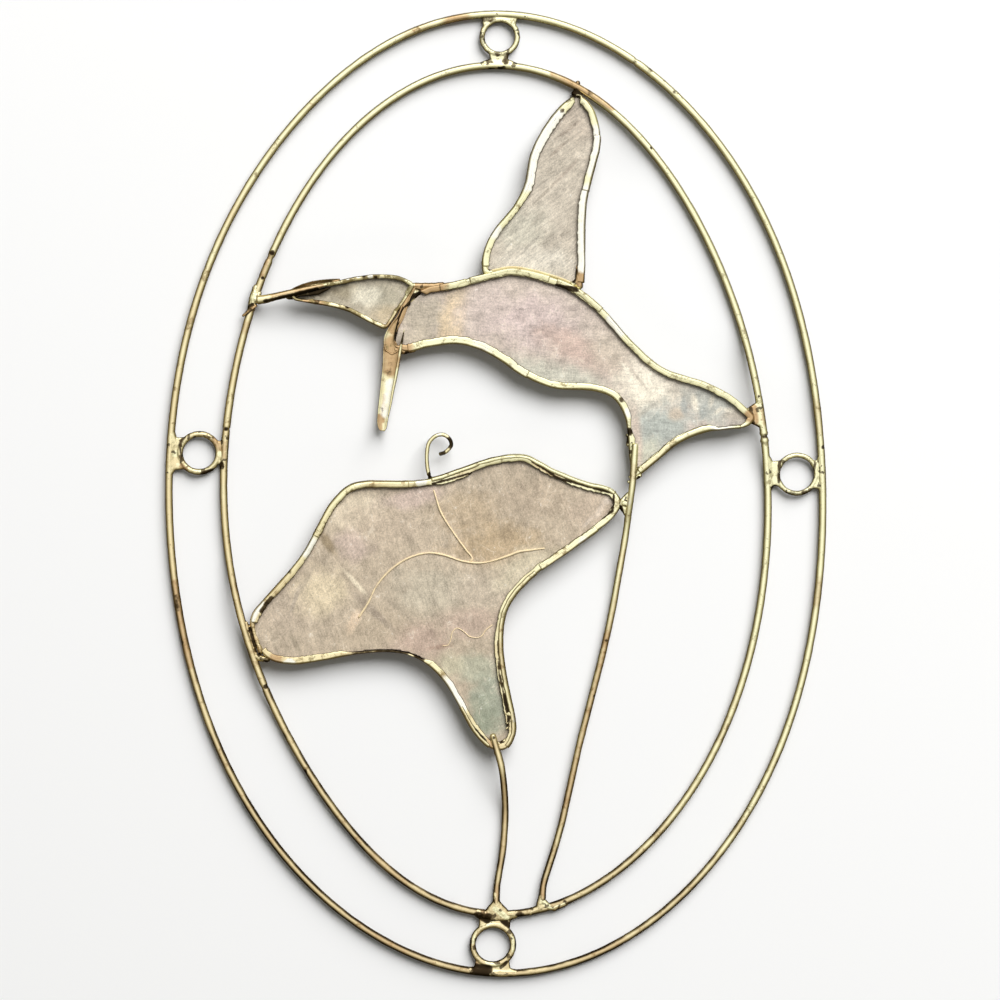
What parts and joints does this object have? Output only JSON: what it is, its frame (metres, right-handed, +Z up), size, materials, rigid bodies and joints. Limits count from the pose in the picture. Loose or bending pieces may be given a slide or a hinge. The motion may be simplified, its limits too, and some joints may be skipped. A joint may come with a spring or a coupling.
{
  "type": "suncatcher",
  "caption": "Oval capiz shell suncatcher: a hummingbird over a trumpet flower, bound in brass inside nested wire hoops, hung by the ring at its top.",
  "frame": {"origin": "the point it hangs by: the inside top of the hole of the top ring", "axes": "+Z up, with the long axis of the oval hoops; the picture faces -Y; +X to the right when seen from the front"},
  "size_m": [0.1653, 0.0045, 0.2416],
  "materials": {
    "outer_hoop": "brass wire",
    "inner_hoop": "brass wire",
    "ring_top": "brass ring, soldered",
    "ring_left": "brass ring, soldered",
    "ring_right": "brass ring, soldered",
    "ring_bottom": "brass ring, soldered",
    "body_edging": "folded brass channel",
    "raised_wing_edging": "folded brass channel",
    "forward_wing_edging": "folded brass channel",
    "flower_edging": "folded brass channel",
    "beak": "heat-coloured brass strip",
    "flower_stem": "brass wire",
    "tail_stem": "brass wire",
    "flower_tendril": "thin brass wire",
    "body_shell": "satin, translucent windowpane oyster (capiz) shell, fine streaks",
    "raised_wing_shell": "satin, translucent windowpane oyster (capiz) shell, fine streaks",
    "forward_wing_shell": "satin, translucent windowpane oyster (capiz) shell, fine streaks",
    "flower_shell": "satin, translucent windowpane oyster (capiz) shell, fine streaks"
  },
  "bodies": {
    "root": {"outer_hoop": "outer_hoop", "inner_hoop": "inner_hoop", "ring_top": "ring_top", "ring_left": "ring_left", "ring_right": "ring_right", "ring_bottom": "ring_bottom", "body_edging": "body_edging", "raised_wing_edging": "raised_wing_edging", "forward_wing_edging": "forward_wing_edging", "flower_edging": "flower_edging", "beak": "beak", "flower_stem": "flower_stem", "tail_stem": "tail_stem", "flower_tendril": "flower_tendril", "body_shell": "body_shell", "raised_wing_shell": "raised_wing_shell", "forward_wing_shell": "forward_wing_shell", "flower_shell": "flower_shell"}
  },
  "joints": []
}
